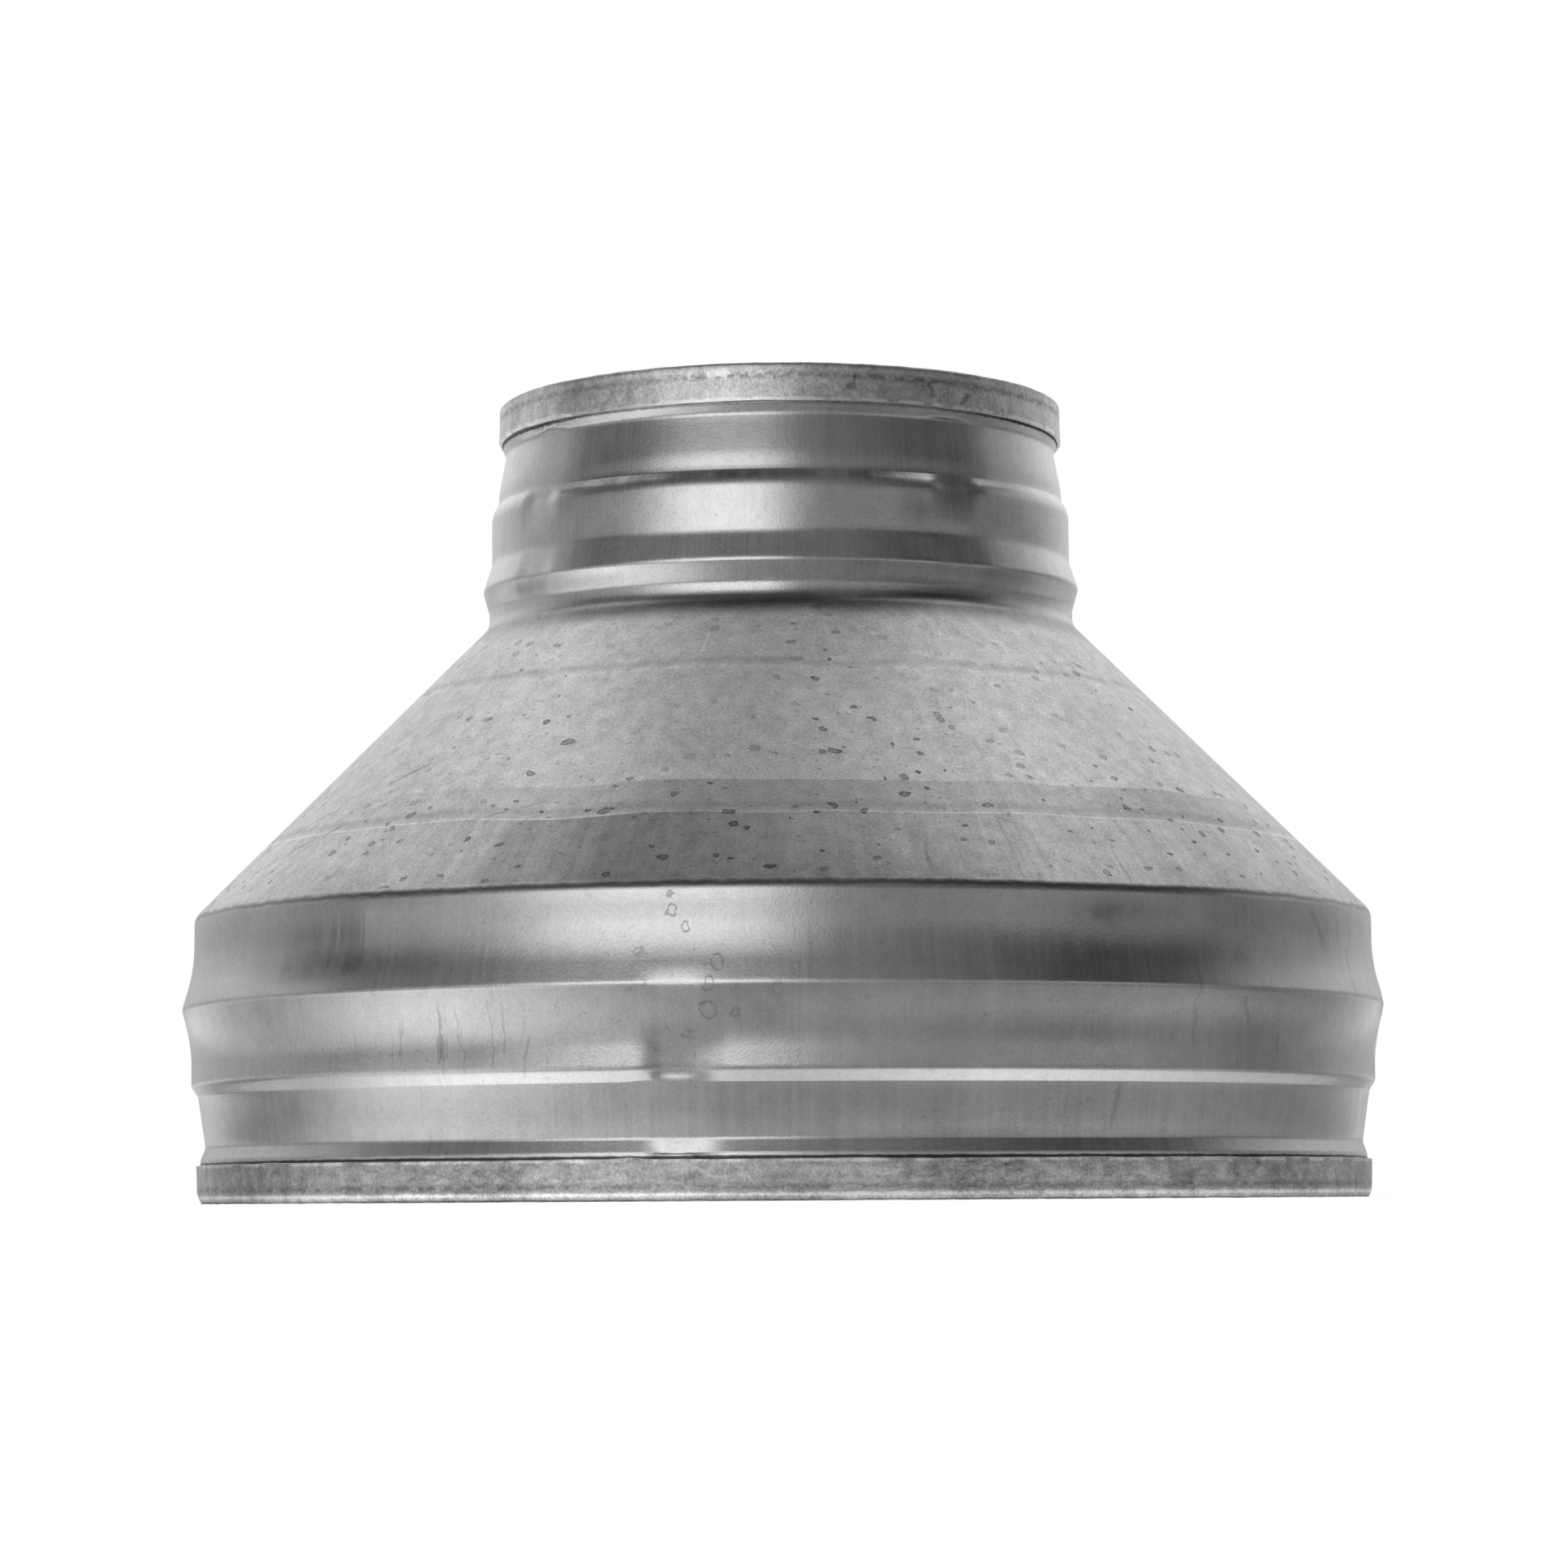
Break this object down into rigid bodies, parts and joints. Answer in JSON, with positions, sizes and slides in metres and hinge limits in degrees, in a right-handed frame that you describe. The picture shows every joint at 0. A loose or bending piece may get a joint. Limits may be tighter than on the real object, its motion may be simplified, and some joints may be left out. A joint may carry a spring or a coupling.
{
  "type": "round duct reducer",
  "caption": "Concentric round duct reducer pressed from one galvanised sheet: a hemmed, beaded spigot at each end of a 45 degree cone.",
  "frame": {"origin": "middle of the large rim, on the plane that the rim stands on", "axes": "+Z along the duct axis towards the small spigot, and the picture looks along +Y with +X to its right"},
  "size_m": [0.2528, 0.2528, 0.1684],
  "materials": {
    "galvanised_steel": "satin hot-dip galvanised sheet with fine spangle, scuffed at the hems"
  },
  "bodies": {
    "root": {"reducer_shell": "galvanised_steel"}
  },
  "joints": []
}
